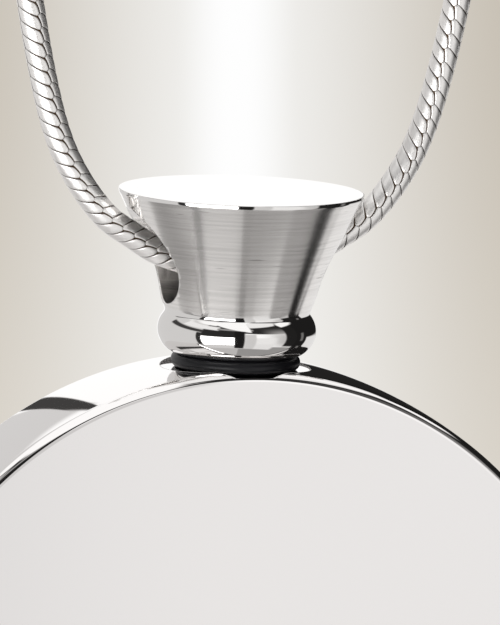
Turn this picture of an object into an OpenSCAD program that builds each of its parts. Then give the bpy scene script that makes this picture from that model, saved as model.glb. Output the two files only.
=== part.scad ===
// Round keepsake urn pendant on a fine snake chain.
// The disc is a flat hollow flask. It screws onto a flared cap, a rubber gasket seals the joint,
// and the chain runs through the cap's cross bore and closes in a loop at its clasp.
// Millimetres, Z up, the disc's front face looks along -Y.
// The origin is where the closed necklace hangs: the middle of the clasp's underside.

/* [Urn disc] */
// Diameter of the disc
disc_d = 28.5; // [24:0.5:34]
// Thickness of the disc between its two flat faces
disc_t = 5.5; // [4.8:0.1:7]
// Radius of the rounded edge round each face
edge_r = 0.4; // [0.2:0.05:0.6]
// Diameter of the chamber inside the disc
chamber_d = 21; // [14:0.5:22]
// Metal between the chamber and each flat face
face_wall = 1.1; // [0.8:0.05:1.6]
// Diameter of the flat seat cut into the rim under the gasket
seat_d = 5.6; // [5.2:0.1:6.4]
// Depth of that seat below the top of the rim
seat_depth = 0.31; // [0.27:0.01:0.5]

/* [Cap] */
// Diameter of the cap's flat top
cap_top_d = 9.1; // [8.6:0.1:9.8]
// Height of the upright band round the cap's top edge
rim_band = 0.13; // [0.05:0.01:0.3]
// Metal above the cross bore
bore_roof = 0.7; // [0.5:0.05:1.2]
// Metal between the cross bore and the waist
bore_floor = 0.34; // [0.3:0.02:0.8]
// Diameter of the cross bore that the chain runs through
bore_d = 3.5; // [3.1:0.1:3.8]
// How far the flare's side is hollowed from a straight cone
flare_hollow = 0.07; // [0:0.01:0.2]
// Diameter of the bead below the waist
bead_d = 5.9; // [5.6:0.1:7]
// Radius of the bead's round section
bead_section_r = 0.93; // [0.7:0.01:1.1]
// Angle on that section from the widest circle up to the waist
waist_angle = 45; // [40:1:60]
// Angle on that section from the widest circle down to the foot
foot_angle = 68; // [55:1:75]

/* [Post and gasket] */
// Diameter of the threaded post, drawn plain over its crests
post_d = 3; // [2.4:0.1:3.2]
// Length of post inside the urn's neck when the urn is screwed tight
post_reach = 2.5; // [1.5:0.1:2.6]
// Chamfer round the post's tip
post_chamfer = 0.25; // [0.1:0.05:0.4]
// Width of the gasket's section
gasket_w = 0.86; // [0.7:0.02:1]
// Height of the gasket, squeezed between the seat and the cap's foot
gasket_h = 0.56; // [0.46:0.02:0.66]

/* [Chain and clasp] */
// Diameter of the chain
chain_d = 1; // [0.8:0.05:1.2]
// How far the chain lies behind the middle of the bore
chain_back = 0.5; // [0:0.05:0.6]
// Diameter of the clasp's barrel
clasp_d = 2.6; // [2:0.1:3.4]
// Length of the clasp's barrel
clasp_l = 10; // [9:0.5:14]
// Chamfer round the barrel's ends
clasp_chamfer = 0.5; // [0.2:0.05:0.7]
// How deep each end of the chain goes into the barrel
clasp_grip = 1.5; // [1:0.1:2.5]

/* [Clearances] */
// Gap round the post, in the urn's neck and in the gasket
post_gap = 0.05; // [0.02:0.01:0.1]
// Gap above and below the gasket
gasket_gap = 0.01; // [0:0.01:0.05]
// Gap between the chain and the two upper lips of the bore that hang on it
hang_gap = 0.1; // [0.05:0.01:0.15]
// Gap round and behind the chain's ends in the clasp
grip_gap = 0.05; // [0.02:0.01:0.1]

/* [Hidden] */

steel = [0.78, 0.77, 0.75];
polished_steel = [0.86, 0.86, 0.85];
black_rubber = [0.05, 0.05, 0.055];

round_fn = 96;
arc_steps = 10;
chain_sides = 8;
over = 1;

// Right half of the chain's route, [x, z], from the middle of the bore up to the clasp
half_route = [
    [0, -200.5], [1.5, -200.35], [3, -199.9], [4, -199.3], [4.9, -198.7], [5.6, -197.95], [6.2, -197.1],
    [6.7, -196.2], [7.1, -195.2], [7.4, -194.2], [7.7, -193], [8, -191.6], [8.3, -190],
    [10.7, -176], [13.4, -161], [16.2, -145], [19.2, -128], [22.2, -111], [25.2, -94], [28.2, -77],
    [31, -61], [32.9, -50], [34.4, -41], [35.2, -34], [34.8, -28], [32.9, -21.2], [29.5, -14.5],
    [24.8, -8.8], [19, -4.1], [12.8, -1]
];
// It runs straight out of the clasp, then bends down to that half
clasp_z = clasp_d / 2;
route_end = [clasp_l / 2 - clasp_grip, clasp_z];
clasp_mouth = [clasp_l / 2 + chain_d / 2, clasp_z];
below_clasp = [clasp_l / 2 + 3 * chain_d, clasp_z - 0.55 * chain_d];
right_route = concat(half_route, [below_clasp, clasp_mouth, route_end]);
last = len(right_route) - 1;
// From the clasp's own plane it leans back to where the pendant hangs
lean_end = -185;
function route_y(z) = chain_back * min(1, max(0, z / lean_end));
chain_route = concat(
    [for (i = [last:-1:1]) [-right_route[i].x, right_route[i].y]],
    right_route
);

// The cap's sizes, measured from the axis of its cross bore
cap_top_z = bore_d / 2 + bore_roof;
waist_z = -bore_d / 2 - bore_floor;
bead_z = waist_z - bead_section_r * sin(waist_angle);
foot_z = bead_z - bead_section_r * sin(foot_angle);
bead_centre_r = bead_d / 2 - bead_section_r;
waist_r = bead_centre_r + bead_section_r * cos(waist_angle);
rim_z = cap_top_z - rim_band;
function flare_r(z) = let (u = (z - waist_z) / (rim_z - waist_z))
    waist_r + (cap_top_d / 2 - waist_r) * u - 4 * flare_hollow * u * (1 - u);

// The bore's two upper lips hang on the chain where it runs out of the bore
lip_x = flare_r(bore_d / 2);
function lookup_z(x) = lookup(x, [for (i = [0:12]) half_route[i]]);
lip_step = chain_d / 5;
lip_slope = atan2(lookup_z(lip_x + lip_step) - lookup_z(lip_x - lip_step), 2 * lip_step);
lip_reach = bore_d / 2 - (chain_d / 2 + hang_gap) / cos(lip_slope);
bore_z = lookup_z(lip_x) - sqrt(lip_reach * lip_reach - chain_back * chain_back);

// The gasket, the urn and its neck hang below the cap's foot
gasket_top = foot_z - gasket_gap;
seat_z = gasket_top - gasket_h - gasket_gap;
disc_z = seat_z + seat_depth - disc_d / 2;
gasket_inner_r = post_d / 2 + post_gap;
neck_r = post_d / 2 + post_gap;
chamber_t = disc_t - 2 * face_wall;

module pendant_place() {
    translate([0, 0, bore_z]) children();
}

// Half of a flat disc's section with rounded edges, on the right of the Y axis
module disc_section(radius, thickness, rounding) {
    union() {
        translate([0, -thickness / 2]) square([radius - rounding, thickness]);
        translate([0, -thickness / 2 + rounding]) square([radius, thickness - 2 * rounding]);
        for (side = [-1, 1])
            translate([radius - rounding, side * (thickness / 2 - rounding)]) circle(r = rounding, $fn = 32);
    }
}

// Hollow disc with its seat and neck cut down from the top of the rim
module urn_body() {
    color(polished_steel)
    pendant_place()
    difference() {
        translate([0, 0, disc_z]) rotate([90, 0, 0])
            rotate_extrude($fn = round_fn * 2) disc_section(disc_d / 2, disc_t, edge_r);
        translate([0, 0, disc_z]) rotate([90, 0, 0])
            cylinder(h = chamber_t, d = chamber_d, center = true, $fn = round_fn);
        translate([0, 0, seat_z]) cylinder(h = seat_depth + over, d = seat_d, $fn = round_fn);
        translate([0, 0, disc_z]) cylinder(h = disc_d / 2 + over, r = neck_r, $fn = round_fn);
    }
}

// Rubber ring squeezed to a flat oval section
module gasket() {
    color(black_rubber)
    pendant_place()
    translate([0, 0, gasket_top - gasket_h / 2])
        rotate_extrude($fn = round_fn) translate([gasket_inner_r, 0]) {
            translate([gasket_h / 2, -gasket_h / 2]) square([gasket_w - gasket_h, gasket_h]);
            for (end = [gasket_h / 2, gasket_w - gasket_h / 2])
                translate([end, 0]) circle(d = gasket_h, $fn = 32);
        }
}

// Turned cap: flared top, waist, bead, foot and post in one piece, with the cross bore
flare_side = [for (i = [0:arc_steps]) let (z = waist_z + (rim_z - waist_z) * i / arc_steps)
    [flare_r(z), z]];
bead_side = [for (i = [0:arc_steps]) let (a = -foot_angle + (foot_angle + waist_angle) * i / arc_steps)
    [bead_centre_r + bead_section_r * cos(a), bead_z + bead_section_r * sin(a)]];
post_tip = seat_z - post_reach;
cap_profile = concat(
    [[0, post_tip], [post_d / 2 - post_chamfer, post_tip], [post_d / 2, post_tip + post_chamfer],
     [post_d / 2, foot_z]],
    [for (i = [0:arc_steps - 1]) bead_side[i]],
    flare_side,
    [[cap_top_d / 2, cap_top_z], [0, cap_top_z]]
);
module cap() {
    color(steel)
    pendant_place()
    difference() {
        rotate_extrude($fn = round_fn) polygon(cap_profile);
        rotate([0, 90, 0]) cylinder(h = cap_top_d + 2 * over, d = bore_d, center = true, $fn = round_fn);
    }
}

// One tube swept along the chain's route, a ring of points at each point of it
function tangent(i) = let (a = chain_route[max(i - 1, 0)], b = chain_route[min(i + 1, len(chain_route) - 1)])
    (b - a) / norm(b - a);
function ring(i) = let (t = tangent(i), p = chain_route[i])
    [for (k = [0:chain_sides - 1]) let (a = 360 * k / chain_sides, u = chain_d / 2 * cos(a))
        [p.x - t.y * u, route_y(p.y) + chain_d / 2 * sin(a), p.y + t.x * u]];
module chain() {
    rings = len(chain_route);
    n = chain_sides;
    color(steel)
    polyhedron(
        points = [for (i = [0:rings - 1]) each ring(i)],
        faces = concat(
            [[for (k = [0:n - 1]) k]],
            [for (i = [0:rings - 2], k = [0:n - 1]) let (a = i * n + k, b = i * n + (k + 1) % n)
                [a, a + n, b + n, b]],
            [[for (k = [n - 1:-1:0]) (rings - 1) * n + k]]
        )
    );
}

// Plain barrel clasp, a socket for the chain in each end
module clasp() {
    socket_l = clasp_grip + grip_gap;
    color(steel)
    translate([0, 0, clasp_z]) rotate([0, 90, 0])
    difference() {
        rotate_extrude($fn = round_fn) polygon([
            [0, -clasp_l / 2], [clasp_d / 2 - clasp_chamfer, -clasp_l / 2],
            [clasp_d / 2, -clasp_l / 2 + clasp_chamfer], [clasp_d / 2, clasp_l / 2 - clasp_chamfer],
            [clasp_d / 2 - clasp_chamfer, clasp_l / 2], [0, clasp_l / 2]
        ]);
        for (side = [-1, 1])
            translate([0, 0, side * (clasp_l / 2 + (over - socket_l) / 2)])
                cylinder(h = socket_l + over, d = chain_d + 2 * grip_gap, center = true, $fn = 32);
    }
}

chain();
clasp();
cap();
gasket();
urn_body();
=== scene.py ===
"""Looks of the keepsake urn pendant: mirror-polished disc, turned cap, rubber gasket and snake chain.

Lengths are in millimetres until a mesh is made, and places come from the CAD frame.
"""

import math

import bmesh
import bpy
import numpy as np
from mathutils import Matrix, Vector


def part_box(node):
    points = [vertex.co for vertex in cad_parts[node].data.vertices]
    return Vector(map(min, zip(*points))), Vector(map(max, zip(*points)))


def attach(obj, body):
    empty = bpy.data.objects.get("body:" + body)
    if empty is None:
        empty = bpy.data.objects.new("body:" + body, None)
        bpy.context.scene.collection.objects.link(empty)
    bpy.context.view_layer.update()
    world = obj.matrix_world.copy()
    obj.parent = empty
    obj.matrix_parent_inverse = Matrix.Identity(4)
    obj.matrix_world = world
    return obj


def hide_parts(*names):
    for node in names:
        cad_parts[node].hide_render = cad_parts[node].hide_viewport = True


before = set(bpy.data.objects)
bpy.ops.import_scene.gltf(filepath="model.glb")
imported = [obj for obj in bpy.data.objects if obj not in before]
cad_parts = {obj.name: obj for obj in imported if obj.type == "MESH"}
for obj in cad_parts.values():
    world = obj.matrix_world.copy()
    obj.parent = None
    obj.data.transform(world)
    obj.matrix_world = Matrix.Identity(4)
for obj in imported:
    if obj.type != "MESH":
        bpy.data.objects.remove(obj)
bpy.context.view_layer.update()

MM = 0.001
TAU = 2 * math.pi
SHARP = math.radians(32)

# The view of the photograph

VIEW_AZIMUTH = math.radians(-15.88)
VIEW_ELEVATION = math.radians(7.83)
VIEW_ROLL = math.radians(2.07)
VIEW_DISTANCE = 400
VIEW_TARGET = Vector((0.496, 0, -202.133))
LENS = 621
SENSOR_WIDTH = 36


def view_axes():
    """The camera's own right, up and back directions."""
    back = Vector((
        math.sin(VIEW_AZIMUTH) * math.cos(VIEW_ELEVATION),
        -math.cos(VIEW_AZIMUTH) * math.cos(VIEW_ELEVATION),
        math.sin(VIEW_ELEVATION),
    ))
    right = Vector((math.cos(VIEW_AZIMUTH), math.sin(VIEW_AZIMUTH), 0))
    turn = Matrix.Rotation(VIEW_ROLL, 3, back)
    return turn @ right, turn @ back.cross(right), back


def photo_camera():
    """The camera well in front of the cap, slightly above it and to its left."""
    right, up, back = view_axes()
    data = bpy.data.cameras.new("photo_camera")
    data.lens = LENS
    data.sensor_width = SENSOR_WIDTH
    data.clip_start = 0.01
    data.clip_end = 30
    camera = bpy.data.objects.new("photo_camera", data)
    camera.location = (VIEW_TARGET + back * VIEW_DISTANCE) * MM
    camera.rotation_euler = Matrix((right, up, back)).transposed().to_euler()
    bpy.context.scene.collection.objects.link(camera)
    bpy.context.scene.camera = camera


photo_camera()

# Sizes of the pieces, in millimetres, as the CAD source has them, and the places that follow


def box_mm(node):
    """The lowest and highest corner of a CAD node, in millimetres."""
    low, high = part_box(node)
    return low / MM, high / MM


cap_low, cap_high = box_mm("cap")
gasket_low, gasket_high = box_mm("gasket")
urn_low, urn_high = box_mm("urn_body")
clasp_low, clasp_high = box_mm("clasp")

CAP_TOP_R = cap_high.x
RIM_BAND = 0.13
RIM_ROUND = 0.025
BORE_R = 1.75
BORE_ROOF = 0.7
BORE_FLOOR = 0.34
FLARE_HOLLOW = 0.07
BEAD_R = 2.95
BEAD_SECTION_R = 0.93
WAIST_ANGLE = math.radians(45)
FOOT_ANGLE = math.radians(68)
POST_R = 1.5
POST_CHAMFER = 0.25
THREAD_PITCH = 0.5
THREAD_DEPTH = 0.27
GASKET_INNER_R = 1.55
NECK_R = 1.55
SEAT_R = 2.8
SEAT_DEPTH = 0.31
CHAMBER_R = 10.5
FACE_WALL = 1.1
DISC_EDGE_R = 0.4
CHAIN_R = 0.5
CLASP_CHAMFER = 0.5
CLASP_STEPS = 96
CLASP_GRIP = 1.5
GRIP_GAP = 0.05

bore_z = cap_high.z - BORE_ROOF - BORE_R
waist_z = bore_z - BORE_R - BORE_FLOOR
rim_z = cap_high.z - RIM_BAND
bead_z = waist_z - BEAD_SECTION_R * math.sin(WAIST_ANGLE)
foot_z = bead_z - BEAD_SECTION_R * math.sin(FOOT_ANGLE)
bead_centre_r = BEAD_R - BEAD_SECTION_R
waist_r = bead_centre_r + BEAD_SECTION_R * math.cos(WAIST_ANGLE)
disc_r = urn_high.x
disc_z = urn_low.z + disc_r
seat_z = disc_z + disc_r - SEAT_DEPTH
half_t = urn_high.y

# Turned and cut meshes


def linked(name, mesh):
    """A new object in the scene for a mesh."""
    made = bpy.data.objects.new(name, mesh)
    bpy.context.scene.collection.objects.link(made)
    return made


def smooth_piece(name, bm, sharp=SHARP):
    """An object from a bmesh whose faces are smooth, but for edges sharper than the angle."""
    for face in bm.faces:
        face.smooth = True
    mesh = bpy.data.meshes.new(name)
    bm.to_mesh(mesh)
    bm.free()
    mesh.set_sharp_from_angle(angle=sharp)
    return linked(name, mesh)


def arc(centre, radius, start, end, steps):
    """Points of an arc from one angle to another, in radians, both ends included."""
    angles = np.linspace(start, end, steps + 1)
    return [(centre[0] + radius * math.cos(a), centre[1] + radius * math.sin(a)) for a in angles]


def corner(before, at, after, steps):
    """Points of a soft corner that leaves one side and meets the other without a kink."""
    before, at, after = (Vector(p) for p in (before, at, after))
    shares = np.linspace(0, 1, steps + 1)
    return [tuple(before * (1 - t) ** 2 + at * 2 * t * (1 - t) + after * t ** 2) for t in shares]


def turned(outline, steps, axis="Z", centre=(0, 0, 0)):
    """A closed bmesh: an outline of (radius, height) points spun round an axis through the centre."""
    bm = bmesh.new()
    rise = {"X": Vector((1, 0, 0)), "Y": Vector((0, 1, 0)), "Z": Vector((0, 0, 1))}[axis]
    reach = Vector((1, 0, 0)) if axis == "Z" else Vector((0, 0, 1))
    line = [bm.verts.new((reach * r + rise * h) * MM) for r, h in outline]
    edges = [bm.edges.new(pair) for pair in zip(line, line[1:])]
    bmesh.ops.spin(bm, geom=line + edges, cent=(0, 0, 0), axis=rise, angle=TAU, steps=steps, use_merge=True)
    bmesh.ops.remove_doubles(bm, verts=bm.verts, dist=1e-4 * MM)
    bmesh.ops.recalc_face_normals(bm, faces=bm.faces)
    bmesh.ops.translate(bm, verts=bm.verts, vec=Vector(centre) * MM)
    return bm


def settle(piece):
    """Applies a piece's modifiers, so that its mesh is final."""
    ready = piece.evaluated_get(bpy.context.evaluated_depsgraph_get())
    mesh = bpy.data.meshes.new_from_object(ready)
    old = piece.data
    piece.modifiers.clear()
    piece.data = mesh
    bpy.data.meshes.remove(old)
    mesh.name = piece.name
    mesh.set_sharp_from_angle(angle=SHARP)


def carve(piece, cutters):
    """Cuts each cutter's shape out of a piece and removes the cutters."""
    for cutter in cutters:
        cut = piece.modifiers.new("cut", "BOOLEAN")
        cut.operation = "DIFFERENCE"
        cut.solver = "MANIFOLD"
        cut.object = cutter
    settle(piece)
    for cutter in cutters:
        bpy.data.objects.remove(cutter)


def even_normals(piece):
    """Lets the large flat faces set the shading, so that flats stay flat beside round edges."""
    weigh = piece.modifiers.new("even_normals", "WEIGHTED_NORMAL")
    weigh.keep_sharp = True
    weigh.weight = 100
    settle(piece)


# The cap

CAP_STEPS = 192
FLARE_STEPS = 36
BEAD_STEPS = 22
THREAD_STEPS = 10
FOOT_ROUND = 0.06
COVE = 0.14
LIP_R = 0.09
LIP_TURN = 1.2
LIP_STEPS = 5
LIP_RIM_STEPS = 160
MOUTH_WIDER = 0.1
MOUTH_OUT = 0.3
CUTTER_PAST_CAP = 1
ON_POST = 0.01


def flare_r(z):
    """Radius of the cap's flared side at a height."""
    u = (z - waist_z) / (rim_z - waist_z)
    return waist_r + (CAP_TOP_R - waist_r) * u - 4 * FLARE_HOLLOW * u * (1 - u)


def cap_outline():
    """Half of the cap's section, from the post's tip up to the middle of the top."""
    tip = cap_low.z
    outline = [(0, tip), (POST_R - POST_CHAMFER, tip)]
    rows = round((foot_z - tip - POST_CHAMFER) / (THREAD_PITCH / THREAD_STEPS))
    outline += [(POST_R, z) for z in np.linspace(tip + POST_CHAMFER, foot_z, rows + 1)]
    bead = arc((bead_centre_r, bead_z), BEAD_SECTION_R, -FOOT_ANGLE, WAIST_ANGLE, BEAD_STEPS)
    foot = bead[0]
    outline += corner((foot[0] - FOOT_ROUND, foot_z), foot, bead[1], 4)
    outline += bead[2:-2]
    cove_top = waist_z + COVE
    outline += corner(bead[-2], (waist_r, waist_z), (flare_r(cove_top), cove_top), 6)
    outline += [(flare_r(z), z) for z in np.linspace(cove_top, rim_z - RIM_ROUND, FLARE_STEPS)[1:]]
    outline += corner(outline[-1], (CAP_TOP_R, rim_z), (CAP_TOP_R, rim_z + RIM_ROUND), 3)[1:]
    edge = (CAP_TOP_R - RIM_ROUND, cap_high.z - RIM_ROUND)
    outline += arc(edge, RIM_ROUND, 0, TAU / 4, 4)
    return outline + [(0, cap_high.z)]


def bore_cutter():
    """A bar of the bore's size along X, opening into rounded lips that follow the flare.

    Each station is (wider than the bore, out from the flare), and the last one is flat, past the cap."""
    turns = np.linspace(0, LIP_TURN, LIP_STEPS)
    lip = [(LIP_R * (1 - math.cos(turn)), -LIP_R * (1 - math.sin(turn))) for turn in turns]
    mouth = LIP_R + MOUTH_WIDER
    stations = lip + [(mouth, MOUTH_OUT), (mouth, None)]
    bm = bmesh.new()
    rings = []
    for side in (-1, 1):
        for wider, out in stations if side > 0 else reversed(stations):
            ring = bmesh.ops.create_circle(bm, segments=LIP_RIM_STEPS, radius=1, cap_ends=False)["verts"]
            for vert in ring:
                y, z = vert.co.x * (BORE_R + wider), vert.co.y * (BORE_R + wider)
                x = CAP_TOP_R + CUTTER_PAST_CAP
                if out is not None:
                    x = math.sqrt(max(flare_r(bore_z + z) ** 2 - y * y, 0)) + out
                vert.co = Vector((side * x, y, bore_z + z)) * MM
            rings.append(list(dict.fromkeys(edge for vert in ring for edge in vert.link_edges)))
    for first, second in zip(rings, rings[1:]):
        bmesh.ops.bridge_loops(bm, edges=first + second)
    for end in (rings[0], rings[-1]):
        bmesh.ops.edgeloop_fill(bm, edges=end)
    bmesh.ops.recalc_face_normals(bm, faces=bm.faces)
    return smooth_piece("bore_cutter", bm)


def cut_thread(bm):
    """Sinks a right-hand thread into the post between its tip and the foot."""
    low, high = cap_low.z + POST_CHAMFER / 2, foot_z - THREAD_PITCH / 2
    for vert in bm.verts:
        x, y, z = vert.co / MM
        radius = math.hypot(x, y)
        if abs(radius - POST_R) < ON_POST and low < z < high:
            turn = (z / THREAD_PITCH - math.atan2(y, x) / TAU) % 1
            fade = min(1, (high - z) / THREAD_PITCH)
            depth = THREAD_DEPTH * fade * abs(2 * turn - 1)
            shrink = (radius - depth) / radius
            vert.co.x *= shrink
            vert.co.y *= shrink


def flat_top(cap):
    """Makes the cap's top face shade as one flat mirror right up to its lip."""
    mesh = cap.data
    corners = [corner_normal.vector.copy() for corner_normal in mesh.corner_normals]
    for face in mesh.polygons:
        if face.normal.z > 0.9999 and face.center.z > (cap_high.z - RIM_ROUND) * MM:
            for loop in face.loop_indices:
                corners[loop] = Vector((0, 0, 1))
    mesh.normals_split_custom_set(corners)


def make_cap():
    """The cap: one turned piece with its cross bore, and the threaded post below it."""
    bm = turned(cap_outline(), CAP_STEPS)
    cut_thread(bm)
    cap = smooth_piece("cap_turned", bm)
    carve(cap, [bore_cutter()])
    even_normals(cap)
    flat_top(cap)
    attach(cap, "cap")
    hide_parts("cap")
    return cap


# The urn disc and its gasket

DISC_STEPS = 256
EDGE_STEPS = 10
RIM_ROWS = 13
CUTTER_STEPS = 96
GASKET_STEPS = 128
GASKET_ROUND_STEPS = 12
CROWN = 0.07
ON_DISC = 4e-3
SAME_WAY = 0.9

flat_h = half_t - DISC_EDGE_R
crown_slope = 2 * CROWN / (flat_h + DISC_EDGE_R * 2 * CROWN / flat_h)
crown_tilt = math.atan(crown_slope)
crown_h = flat_h + DISC_EDGE_R * math.sin(crown_tilt)
shoulder_r = disc_r - CROWN - DISC_EDGE_R * math.cos(crown_tilt)


def disc_outline():
    """Half of the disc's section: flat faces, rounded edges and a rim that is crowned a little."""
    front = arc((shoulder_r, -flat_h), DISC_EDGE_R, -TAU / 4, -crown_tilt, EDGE_STEPS)
    rim = [(disc_r - CROWN * (h / crown_h) ** 2, h) for h in np.linspace(-crown_h, crown_h, RIM_ROWS)]
    back = arc((shoulder_r, flat_h), DISC_EDGE_R, crown_tilt, TAU / 4, EDGE_STEPS)
    return [(0, -half_t)] + front + rim[1:-1] + back + [(0, half_t)]


def disc_normal(place):
    """The direction that the disc's uncut outside faces at a place, or None inside it."""
    x, y, z = place / MM
    z -= disc_z
    radius = math.hypot(x, z)
    side = math.copysign(1, y)
    if abs(y) > half_t - 1e-3 and radius < shoulder_r + 1e-3:
        return Vector((0, side, 0))
    if abs(y) > crown_h - 1e-4:
        out, along = radius - shoulder_r, abs(y) - flat_h
        if abs(math.hypot(out, along) - DISC_EDGE_R) > ON_DISC:
            return None
    else:
        out, along = 1, 2 * CROWN * abs(y) / crown_h ** 2
        if abs(radius - disc_r + CROWN * (y / crown_h) ** 2) > ON_DISC:
            return None
    return Vector((out * x / radius, side * along, out * z / radius)).normalized()


def true_normals(piece):
    """Gives the disc's outside its exact directions, so that its mirror stays even beside the seat."""
    mesh = piece.data
    exact = [disc_normal(vert.co) for vert in mesh.vertices]
    corners = [corner_normal.vector.copy() for corner_normal in mesh.corner_normals]
    for face in mesh.polygons:
        for loop in face.loop_indices:
            normal = exact[mesh.loops[loop].vertex_index]
            if normal and normal.dot(face.normal) > SAME_WAY:
                corners[loop] = normal
    mesh.normals_split_custom_set(corners)


def make_urn():
    """The hollow disc with the gasket's seat and the neck cut down from the top of its rim."""
    urn = smooth_piece("urn_disc", turned(disc_outline(), DISC_STEPS, "Y", (0, 0, disc_z)))
    above = disc_z + disc_r + 1
    seat = [(0, disc_z), (NECK_R, disc_z), (NECK_R, seat_z), (SEAT_R, seat_z), (SEAT_R, above), (0, above)]
    neck_cutter = smooth_piece("neck_cutter", turned(seat, CUTTER_STEPS))
    chamber_h = half_t - FACE_WALL
    chamber = [(0, -chamber_h), (CHAMBER_R, -chamber_h), (CHAMBER_R, chamber_h), (0, chamber_h)]
    chamber_cutter = smooth_piece("chamber_cutter", turned(chamber, CUTTER_STEPS, "Y", (0, 0, disc_z)))
    carve(urn, [chamber_cutter, neck_cutter])
    true_normals(urn)
    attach(urn, "urn")
    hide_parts("urn_body")
    return urn


def make_gasket():
    """The rubber ring, squeezed to a flat oval section."""
    radius = (gasket_high.z - gasket_low.z) / 2
    middle = (gasket_high.z + gasket_low.z) / 2
    outside = arc((gasket_high.x - radius, middle), radius, -TAU / 4, TAU / 4, GASKET_ROUND_STEPS)
    inside = arc((GASKET_INNER_R + radius, middle), radius, TAU / 4, 3 * TAU / 4, GASKET_ROUND_STEPS)
    section = outside + inside + outside[:1]
    gasket = smooth_piece("gasket_ring", turned(section, GASKET_STEPS))
    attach(gasket, "gasket")
    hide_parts("gasket")
    return gasket


# The chain and its clasp

HALF_ROUTE = [
    (0, -200.5), (1.5, -200.35), (3, -199.9), (4, -199.3), (4.9, -198.7), (5.6, -197.95), (6.2, -197.1),
    (6.7, -196.2), (7.1, -195.2), (7.4, -194.2), (7.7, -193), (8, -191.6), (8.3, -190),
    (10.7, -176), (13.4, -161), (16.2, -145), (19.2, -128), (22.2, -111), (25.2, -94), (28.2, -77),
    (31, -61), (32.9, -50), (34.4, -41), (35.2, -34), (34.8, -28), (32.9, -21.2), (29.5, -14.5),
    (24.8, -8.8), (19, -4.1), (12.8, -1),
]
ROUTE_STEP = 0.05
CURVE_STEPS = 60
CHAIN_BACK = 0.5
LEAN_END = -185
COLUMN_WIDTHS = [math.radians(width) for width in (104, 76, 104, 76)]
SEAM_SLOPE = 0.92
SEAM = 0.048
SEAM_LEFT = 0.5
SEAM_WIDENS = 0.6
SIDE_SEAM = 0.4
EDGE_DROP = 0.014
SHADE_LEFT = 0.15
SHADE_DEEPENS = 0.6
SIDE_SHADE = 0.35
CORE_R = 0.45
CORE_STEPS = 12
SKIRT_DEPTH = 0.01
TOOTH = math.radians(6.3)
TOOTH_RISE = 0.7
# Rows of a plate's mesh, across it and along the chain
FINE_ROWS = (
    (-1, -0.93, -0.8, -0.5, -0.2, 0.1, 0.4, 0.65, 0.85, 0.95, 1),
    (-1, -0.9, -0.7, -0.4, 0, 0.4, 0.7, 0.9, 1),
)
PLAIN_ROWS = ((-1, -0.8, -0.2, 0.5, 0.9, 1), (-1, -0.4, 0.4, 1))
FINE_LINKS = 45
CLASP_GAP = 0.1
LEGS = (
    # name, side, pitch, phase, turn of the first column as (way up the leg, degrees) pairs
    ("chain_left", -1, 0.5248, -0.003, ((6.5, 51), (12, 36))),
    ("chain_right", 1, 0.5448, -0.182, ((5.4, -61), (6.5, -55), (8, -50), (12, -71))),
)


def between(first, second, start, end, t):
    """The point on the way from one point at the start to another at the end."""
    return (end - t) / (end - start) * first + (t - start) / (end - start) * second


def route_line():
    """A smooth line through the route's points: (x, z) rows at an even step, and the length up to each."""
    clasp_end, clasp_z = clasp_high.x, (clasp_low.z + clasp_high.z) / 2
    chain_d = 2 * CHAIN_R
    end = [
        (clasp_end + 3 * chain_d, clasp_z - 0.55 * chain_d),
        (clasp_end + chain_d / 2, clasp_z),
        (clasp_end - CLASP_GRIP, clasp_z),
    ]
    right = HALF_ROUTE + end
    points = np.array([(-x, z) for x, z in reversed(right[1:])] + right)
    padded = np.vstack([2 * points[0] - points[1], points, 2 * points[-1] - points[-2]])
    dense = []
    for a, b, c, d in zip(padded, padded[1:], padded[2:], padded[3:]):
        gaps = [np.linalg.norm(q - p) ** 0.5 for p, q in ((a, b), (b, c), (c, d))]
        at_a, at_b, at_c, at_d = np.concatenate([[0], np.cumsum(gaps)])
        t = np.linspace(at_b, at_c, CURVE_STEPS, endpoint=False)[:, None]
        ab = between(a, b, at_a, at_b, t)
        bc = between(b, c, at_b, at_c, t)
        cd = between(c, d, at_c, at_d, t)
        abc = between(ab, bc, at_a, at_c, t)
        bcd = between(bc, cd, at_b, at_d, t)
        dense.append(between(abc, bcd, at_b, at_c, t))
    dense = np.vstack(dense + [points[-1:]])
    run = np.concatenate([[0], np.cumsum(np.linalg.norm(np.diff(dense, axis=0), axis=1))])
    even = np.linspace(0, run[-1], round(run[-1] / ROUTE_STEP) + 1)
    return np.column_stack([np.interp(even, run, dense[:, 0]), np.interp(even, run, dense[:, 1])]), even


def tooth(phase):
    """The angle by which the border between two columns swings right, at a place from 0 to 1 along it."""
    phase = phase % 1
    if phase < TOOTH_RISE:
        return TOOTH * (1 - 2 * (1 - phase / TOOTH_RISE) ** 2)
    return TOOTH * (1 - 2 * (phase - TOOTH_RISE) / (1 - TOOTH_RISE))


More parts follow.
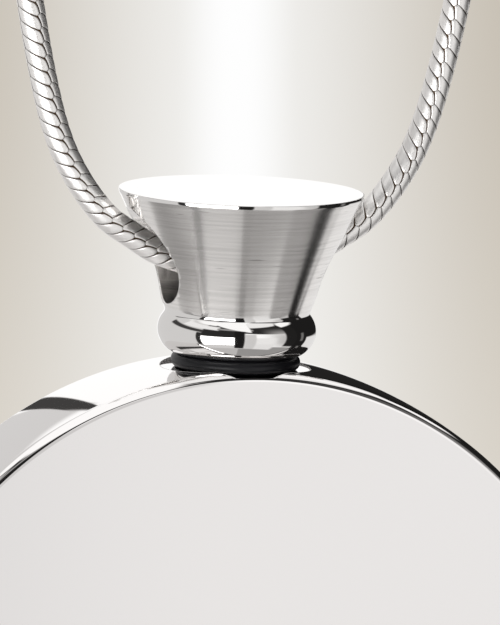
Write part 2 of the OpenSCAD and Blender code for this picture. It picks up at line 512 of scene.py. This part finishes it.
def link_bmesh(pitch, across_rows, along_rows):
    """One link, laid flat: four plates with slanted seams round a core, every second one half a pitch on.

    X runs up the chain, Y is the angle round it to the right and Z the radius. A float layer on the
    vertices
    holds painted shade: how far a place is left lit, from 0 in the seams to 1 on the plates' backs."""
    bm = bmesh.new()
    unshaded = bm.verts.layers.float.new("unshaded")
    counts = (len(across_rows) - 1, len(along_rows) - 1)
    even_across, even_along = (np.linspace(-0.5, 0.5, count + 1) for count in counts)
    for column, width in enumerate(COLUMN_WIDTHS):
        made = bmesh.ops.create_grid(bm, x_segments=counts[0], y_segments=counts[1], size=0.5)
        plate = made["verts"]
        border = dict.fromkeys(edge for vert in plate for edge in vert.link_edges if edge.is_boundary)
        for vert in plate:
            across = np.interp(vert.co.x, even_across, across_rows)
            down = np.interp(vert.co.y, even_along, along_rows)
            right_end = width / 2 + tooth((down + 1) / 2)
            left_end = -width / 2 + tooth(TOOTH_RISE + (down + 1) / 2)
            share = (across + 1) / 2
            turn = left_end + (right_end - left_end) * share - across * SEAM * SIDE_SEAM / CHAIN_R
            seam = SEAM * (SEAM_LEFT + SEAM_WIDENS * share)
            slanted = turn / (TAU / 4) * SEAM_SLOPE
            drop = (down * (1 - seam / pitch) / 2 + slanted + (column % 2) / 2) * pitch
            edge_drop = EDGE_DROP * abs(across) ** 12 + EDGE_DROP * abs(down) ** 8
            # Painted shade: darker near the plate's ends along the chain, more so towards its right side,
            # and near its sides
            shade = (SHADE_LEFT + SHADE_DEEPENS * share) * abs(down) ** 12 + SIDE_SHADE * abs(across) ** 16
            vert[unshaded] = max(0, 1 - shade)
            vert.co = Vector((-drop, turn + column * TAU / 4, CHAIN_R - edge_drop))
        skirt = bmesh.ops.extrude_edge_only(bm, edges=list(border))["geom"]
        for vert in (part for part in skirt if isinstance(part, bmesh.types.BMVert)):
            vert.co.z = CORE_R - SKIRT_DEPTH
            # Painted shade: the plate's skirt down into the seam is fully dark
            vert[unshaded] = 0
    core = bmesh.ops.create_grid(bm, x_segments=1, y_segments=CORE_STEPS, size=0.5)["verts"]
    for vert in core:
        vert.co = Vector((vert.co.x * pitch, vert.co.y * TAU, CORE_R))
    return bm


def bend_link(co, side, line, run, twist):
    """Points at (way up the leg, angle, radius) laid round the left (-1) or right (1) half of the route.

    The twist lists how far the first column is turned, as (way up the leg, degrees) pairs."""
    up, angle, radius = co.T
    place = run[-1] / 2 + side * up
    x, z = (np.interp(place, run, line[:, i]) for i in (0, 1))
    slope = np.gradient(line, run, axis=0)
    tx, tz = (np.interp(place, run, slope[:, i]) for i in (0, 1))
    size = np.hypot(tx, tz)
    angle = side * angle + np.radians(np.interp(up, *zip(*twist)))
    inward = radius * np.sin(angle)
    y = CHAIN_BACK * np.clip(z / LEAN_END, 0, 1) - radius * np.cos(angle)
    return np.column_stack([x + inward * tz / size, y, z - inward * tx / size])


def chain_run(name, side, first, count, pitch, phase, twist, rows, line, run):
    """A stretch of one half of the chain: one link repeated up the leg and laid round it."""
    bm = link_bmesh(pitch, *rows)
    bmesh.ops.recalc_face_normals(bm, faces=bm.faces)
    # Reversed here, because laying the links round the route turns their faces over
    bmesh.ops.reverse_faces(bm, faces=bm.faces)
    for face in bm.faces:
        face.smooth = True
    mesh = bpy.data.meshes.new(name)
    bm.to_mesh(mesh)
    bm.free()
    piece = linked(name, mesh)
    repeat = piece.modifiers.new("links", "ARRAY")
    repeat.count = count
    repeat.use_relative_offset = False
    repeat.use_constant_offset = True
    repeat.constant_offset_displace = (pitch, 0, 0)
    settle(piece)
    co = np.empty(len(piece.data.vertices) * 3)
    piece.data.vertices.foreach_get("co", co)
    co = co.reshape(-1, 3)
    co[:, 0] += (first + phase) * pitch
    laid = bend_link(co, side, line, run, twist) * MM
    piece.data.vertices.foreach_set("co", laid.ravel())
    piece.data.update()
    return piece


def make_chain():
    """The whole snake chain: each leg has a stretch of fine links near the cap and plain ones above."""
    line, run = route_line()
    pieces = []
    for name, side, pitch, phase, twist in LEGS:
        links = int((run[-1] / 2 - CLASP_GAP) / pitch - phase - 1)
        for part, first, count, rows in (
            (name, 1, FINE_LINKS, FINE_ROWS),
            (name + "_upper", 1 + FINE_LINKS, links - FINE_LINKS, PLAIN_ROWS),
        ):
            pieces.append(chain_run(part, side, first, count, pitch, phase, twist, rows, line, run))
    for piece in pieces:
        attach(piece, "necklace")
        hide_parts("chain")
    return pieces


def make_clasp():
    """The plain barrel clasp with a socket for the chain in each end."""
    length, radius = clasp_high.x, (clasp_high.z - clasp_low.z) / 2
    middle = (clasp_high.z + clasp_low.z) / 2
    socket_r, socket_end = CHAIN_R + GRIP_GAP, length - CLASP_GRIP - GRIP_GAP
    face_r, side_end = radius - CLASP_CHAMFER, length - CLASP_CHAMFER
    end = [(0, socket_end), (socket_r, socket_end), (socket_r, length - 0.05), (socket_r + 0.05, length)]
    end += corner((face_r - 0.15, length), (face_r, length), (face_r + 0.1, length - 0.1), 3)
    end += corner((radius - 0.12, side_end + 0.12), (radius, side_end), (radius, side_end - 0.15), 3)
    outline = [(r, -h) for r, h in end] + list(reversed(end))
    clasp = smooth_piece("clasp_barrel", turned(outline, CLASP_STEPS, "X", (0, 0, middle)))
    even_normals(clasp)
    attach(clasp, "necklace")
    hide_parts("clasp")
    return clasp


cap = make_cap()
urn = make_urn()
gasket = make_gasket()
chain = make_chain()
clasp = make_clasp()

# Materials

MARK_STRETCH = (250, 250, 11000)
MARK_DEPTH = 0.0022
DASH_STRETCH = (700, 700, 9000)


def linear(shown):
    """The light behind a brightness of 0 to 255 as a picture shows it."""
    share = shown / 255
    return share / 12.92 if share <= 0.04045 else ((share + 0.055) / 1.055) ** 2.4


def paint(shown):
    """The colour behind red, green and blue of 0 to 255 as a picture shows them."""
    return [linear(part) for part in shown]


class Wire:
    """A number in a node tree. Python's operators on it add Math nodes."""

    def __init__(self, shop, socket):
        self.shop = shop
        self.socket = socket

    def math(self, operation, *others):
        values = {0: self, **{i + 1: other for i, other in enumerate(others)}}
        return self.shop.node("ShaderNodeMath", {"operation": operation}, values)

    def __add__(self, other):
        return self.math("ADD", other)

    def __sub__(self, other):
        return self.math("SUBTRACT", other)

    def __rsub__(self, other):
        return self.shop.node("ShaderNodeMath", {"operation": "SUBTRACT"}, {0: other, 1: self})

    def __mul__(self, other):
        return self.math("MULTIPLY", other)

    def __truediv__(self, other):
        return self.math("DIVIDE", other)

    def __pow__(self, other):
        return self.math("POWER", other)

    __radd__ = __add__
    __rmul__ = __mul__

    def size(self):
        return self.math("ABSOLUTE")

    def fade(self, start, end):
        """A smooth step from 0 at the start to 1 at the end, which may lie below the start."""
        settings = {"interpolation_type": "SMOOTHSTEP"}
        values = {"Value": self, "From Min": start, "From Max": end}
        return self.shop.node("ShaderNodeMapRange", settings, values)

    def toward(self, other, share):
        """Moves the number towards another by a share of the way."""
        return self + (other - self) * share


class Shop:
    """Makes the nodes of one material or world."""

    def __init__(self, owner):
        owner.use_nodes = True
        self.tree = owner.node_tree
        self.tree.nodes.clear()

    def node(self, kind, settings=None, inputs=None, output=0):
        """Adds a node, sets it up, sets or links its inputs and gives one of its outputs."""
        made = self.tree.nodes.new(kind)
        for name, value in (settings or {}).items():
            setattr(made, name, value)
        for name, value in (inputs or {}).items():
            if isinstance(value, Wire):
                self.tree.links.new(value.socket, made.inputs[name])
            else:
                made.inputs[name].default_value = value
        return Wire(self, made.outputs[output])

    def place(self, kind="Object"):
        """A texture coordinate, and the three numbers in it."""
        where = self.node("ShaderNodeTexCoord", None, None, kind)
        x = self.node("ShaderNodeSeparateXYZ", None, {0: where})
        return where, x, *(Wire(self, x.socket.node.outputs[i]) for i in (1, 2))

    def tinted(self, first, second, share):
        """A colour between two others, each one three numbers or a wire."""
        first, second = (colour if isinstance(colour, Wire) else (*colour, 1) for colour in (first, second))
        settings = {"data_type": "RGBA", "clamp_factor": True}
        return self.node("ShaderNodeMix", settings, {0: share, 6: first, 7: second}, 2)

    def scaled(self, colour, amount):
        """A colour made brighter or darker by an amount."""
        return self.node("ShaderNodeVectorMath", {"operation": "SCALE"}, {0: colour, "Scale": amount})

    def stretched(self, where, amounts):
        """A place whose three numbers are each multiplied by their own amount."""
        return self.node("ShaderNodeVectorMath", {"operation": "MULTIPLY"}, {0: where, 1: amounts})

    def principled(self, inputs):
        """The shader of a solid surface."""
        return self.node("ShaderNodeBsdfPrincipled", None, inputs)

    def finish(self, surface, kind="ShaderNodeOutputMaterial"):
        """Links the surface to the output."""
        out = self.tree.nodes.new(kind)
        self.tree.links.new(surface.socket, out.inputs["Surface"])


def polished_steel():
    """Mirror-polished steel, left dull as cut on the wall of the gasket's seat."""
    material = bpy.data.materials.new("polished_steel")
    shop = Shop(material)
    _, x, y, z = shop.place()
    from_wall = ((x * x + y * y) ** 0.5 * (1 / MM) - SEAT_R).size()
    wall = from_wall.fade(0.03, 0.015) * (z * (1 / MM)).fade(seat_z - 0.02, seat_z + 0.03)
    shop.finish(shop.principled({
        "Base Color": (0.9, 0.885, 0.88, 1), "Metallic": 1 - wall, "Roughness": wall * 0.6 + 0.03}))
    return material


def turned_steel():
    """The cap's steel: a mirror on its top, lip and bead, and fine turning marks on its flared side."""
    material = bpy.data.materials.new("turned_steel")
    shop = Shop(material)
    where, _, _, z = shop.place()
    height = z * (1 / MM)
    marks = shop.node("ShaderNodeTexNoise", None, {
        "Vector": shop.stretched(where, MARK_STRETCH), "Scale": 1, "Detail": 3})
    dashes = shop.node("ShaderNodeTexNoise", None, {
        "Vector": shop.stretched(where, DASH_STRETCH), "Scale": 1, "Detail": 1})
    worn = marks.fade(0.62, 0.3) * 0.3 + dashes.fade(0.69, 0.76) * 0.8
    ripple = shop.node("ShaderNodeBump", None, {"Height": marks, "Distance": MARK_DEPTH * MM})
    mirror = shop.principled({"Base Color": (0.88, 0.87, 0.86, 1), "Metallic": 1.0, "Roughness": 0.05})
    turned_side = shop.principled({
        "Base Color": shop.tinted((0.93, 0.915, 0.9), (0.6, 0.585, 0.57), worn), "Metallic": 1.0,
        "Roughness": 0.17, "Anisotropic": 0.8, "Anisotropic Rotation": 0.25, "Normal": ripple})
    on_flare = height.fade(waist_z + 0.1, waist_z + 0.3) * height.fade(rim_z, rim_z - 0.04)
    shop.finish(shop.node("ShaderNodeMixShader", None, {0: on_flare, 1: mirror, 2: turned_side}))
    return material


def chain_steel():
    """The chain's steel, with painted shade: dark brown in the seams between its plates and towards their
    edges.
    """
    material = bpy.data.materials.new("chain_steel")
    shop = Shop(material)
    unshaded = shop.node("ShaderNodeAttribute", {"attribute_name": "unshaded"}, None, "Fac")
    # Painted shade from the link's float layer: dark brown in the seams, bright steel on the plates' backs
    colour = shop.tinted((0.1, 0.062, 0.036), (0.98, 0.965, 0.95), unshaded.fade(0.05, 0.95))
    shop.finish(shop.principled({"Base Color": colour, "Metallic": 1.0, "Roughness": 0.42}))
    return material


def rubber():
    """The gasket's black rubber."""
    material = bpy.data.materials.new("gasket_rubber")
    shop = Shop(material)
    shop.finish(shop.principled({
        "Base Color": (0.005, 0.005, 0.007, 1), "Roughness": 0.38, "Specular IOR Level": 0.32}))
    return material


def dress(piece, material):
    """Gives a piece its one material."""
    piece.data.materials.clear()
    piece.data.materials.append(material)


polished = polished_steel()
dress(urn, polished)
dress(clasp, polished)
dress(cap, turned_steel())
chain_metal = chain_steel()
for piece in chain:
    dress(piece, chain_metal)
dress(gasket, rubber())

# The studio round the pendant, as the polished steel shows it. Sideways angles run from the front
# (0) over the right (90) to the back (180), heights from the level (0) to straight up (90).
# Brightness runs from 0 to 255 as a picture shows it, and a strong lamp lies above that.

STEEL_SHOWS = 0.89
DIM_TINT = (1, 0.965, 0.945)
BRIGHT_TINT = (1, 0.995, 0.99)
ROOM = 205
PANELS = (
    # name, from the left, to the right, from below, to the top, slant, soft edge, brightness
    ("beam", -70, 64, 3, 56, 0, 4, 42),
    ("upper_strip", -112, -45, 31, 46, 0, 5, 235),
    ("upper_line", -48, 12, 34, 41, 0, 3, 150),
    ("ceiling_left", -180, -55, 50, 130, 0, 5, 252),
    ("ceiling_front", -64, 8, 42, 150, -0.42, 4, 252),
    ("ceiling_right", 8, 180, 48, 130, 0, 4, 235),
    ("left_line", -136, -68, 17.5, 28, -0.06, 4, 60),
    ("left_post", -77, -69, -33, 14, 0, 2, 45),
    ("low_left", -130, -70, -50, -32, 0, 3, 140),
    ("softbox", -68.5, -17.5, -31, 2, 0.05, 2, 460),
    ("gap", -18.5, -2, -45, 32, 0, 2.5, 28),
    ("card", -2.5, 63, -48, 18, -0.15, 4, 252),
    ("card_shade", 40, 90, -36, 18, -0.3, 40, 190),
    ("card_foot", 36, 86, -52, -35.5, 0, 3, 146),
    ("card_under", 5, 46, -52, 0, 0, 8, 224),
    ("card_low", 5, 42, -24, 2, 0, 8, 231),
    ("card_left", -2.5, 14, -52, 18, 0, 4, 202),
    ("right_dark", 62, 86, -31, 50, 0, 4, 32),
    ("right_darker", 83, 158, -52, 50, 0, 3, 28),
    ("right_edge", 156, 162.7, -12, 50, 0, 0.6, 32),
    ("window", 66, 95, 38, 70, 0, 4, 252),
    ("strip", 93, 99, -15, 5, 0, 4, 110),
    ("low_right", 108, 163, -60, -8, 0, 3, 222),
    ("low_right_edge", 101, 112, -60, -29, 0, 2, 205),
    ("back", 162.9, 178.5, -14, 90, 0, 0.6, 252),
    ("back_upper", 177, 192, 22, 90, 0, 1.5, 252),
    ("lens", 175.8, 180.4, 11.8, 19.4, 3.5, 0.8, 62),
)
FLOOR = (
    # from the left, to the right, soft edge, brightness
    (-180, 180, 1, 174),
    (-79, -68, 2, 90),
    (-69, -12, 2, 184),
    (-12, 86, 2, 146),
    (82, 101.5, 3, 20),
    (101, 180, 3, 205),
)
FLOOR_EDGE = (-49.5, -44.5)


def studio_light():
    """Lights the room from its panels, each one a soft-edged patch, and from the floor below their edge."""
    world = bpy.data.worlds.new("studio")
    bpy.context.scene.world = world
    shop = Shop(world)
    _, x, y, z = shop.place("Generated")
    degrees = 360 / TAU
    sideways = x.math("ARCTAN2", y * -1) * degrees
    height = z.math("ARCSINE") * degrees

    def inside(off, width, soft):
        """1 within a width round its middle and 0 outside, over a soft edge."""
        return off.size().fade((width + soft) / 2, (width - soft) / 2)

    def from_middle(left, right):
        return (sideways - (left + right) / 2).math("WRAP", 180, -180)

    light = height * 0 + linear(ROOM)
    for _, left, right, below, top, slant, soft, shown in PANELS:
        off = from_middle(left, right)
        across = inside(off, right - left, soft)
        up = inside(height - off * slant - (below + top) / 2, top - below, soft)
        light = light.toward(linear(shown), across * up)
    ground = height * 0
    for left, right, soft, shown in FLOOR:
        ground = ground.toward(linear(shown), inside(from_middle(left, right), right - left, soft))
    light = light.toward(ground, height.fade(*reversed(FLOOR_EDGE)))
    colour = shop.scaled(shop.tinted(DIM_TINT, BRIGHT_TINT, light), light / STEEL_SHOWS)
    shop.finish(shop.node("ShaderNodeBackground", None, {"Color": colour}), "ShaderNodeOutputWorld")


# The backdrop: one bowl with the floor in it, far round the pendant, whose paper glows with painted light:
# a soft band of light, and darker towards the top.
# Places on its paper are in 2000ths of the distance from the photograph's camera.

BACKDROP_R = 5750
FLOOR_Z = -3000
FLOOR_DIP = 0.02
PAPER_UNITS = 2000
BAND_MIDDLE = -2.4
GLOW_REACH = (60, -12)
CORE_REACH = (12, 1)
PAPER_FADE = (60, -60)
PAPER_TOP, PAPER_FOOT = (197, 189, 176), (218, 212, 202)
GLOW, CORE = (249, 249, 248), (254, 254, 254)
UNSEEN_BY = ("diffuse", "glossy", "transmission", "volume_scatter", "shadow")


def make_backdrop():
    """The seamless bowl that only the camera sees."""
    bm = bmesh.new()
    bmesh.ops.create_uvsphere(bm, u_segments=96, v_segments=64, radius=BACKDROP_R * MM)
    floor = FLOOR_Z * MM
    for vert in bm.verts:
        depth = floor - vert.co.z
        if depth > 0:
            vert.co.z = floor - FLOOR_DIP * depth
    bmesh.ops.recalc_face_normals(bm, faces=bm.faces)
    bmesh.ops.reverse_faces(bm, faces=bm.faces)
    backdrop = smooth_piece("backdrop", bm, math.pi)
    for ray in UNSEEN_BY:
        setattr(backdrop, "visible_" + ray, False)
    return backdrop


def backdrop_paper():
    """Warm beige paper that glows with painted light: a soft upright band of light behind the pendant,
    darker towards the top.
    """
    material = bpy.data.materials.new("backdrop_paper")
    shop = Shop(material)
    right, up, back = view_axes()
    eye = (VIEW_TARGET + back * VIEW_DISTANCE) * MM
    where = shop.node("ShaderNodeTexCoord", None, None, "Object")
    from_eye = shop.node("ShaderNodeVectorMath", {"operation": "SUBTRACT"}, {0: where, 1: eye})

    def along(axis):
        return shop.node("ShaderNodeVectorMath", {"operation": "DOT_PRODUCT"}, {0: from_eye, 1: axis}, 1)

    ahead = along(-back).math("MAXIMUM", 0.001)
    from_band = (along(right) / ahead * PAPER_UNITS - BAND_MIDDLE).size()
    upward = along(up) / ahead * PAPER_UNITS
    # Painted light: darker paper towards the top, then a soft painted band of light behind the pendant
    paper = shop.tinted(paint(PAPER_TOP), paint(PAPER_FOOT), upward.fade(*PAPER_FADE))
    paper = shop.tinted(paper, paint(GLOW), from_band.fade(*GLOW_REACH))
    paper = shop.tinted(paper, paint(CORE), from_band.fade(*CORE_REACH))
    shop.finish(shop.node("ShaderNodeEmission", None, {"Color": paper}))
    return material


studio_light()
dress(make_backdrop(), backdrop_paper())
bpy.context.scene.view_settings.view_transform = "Standard"
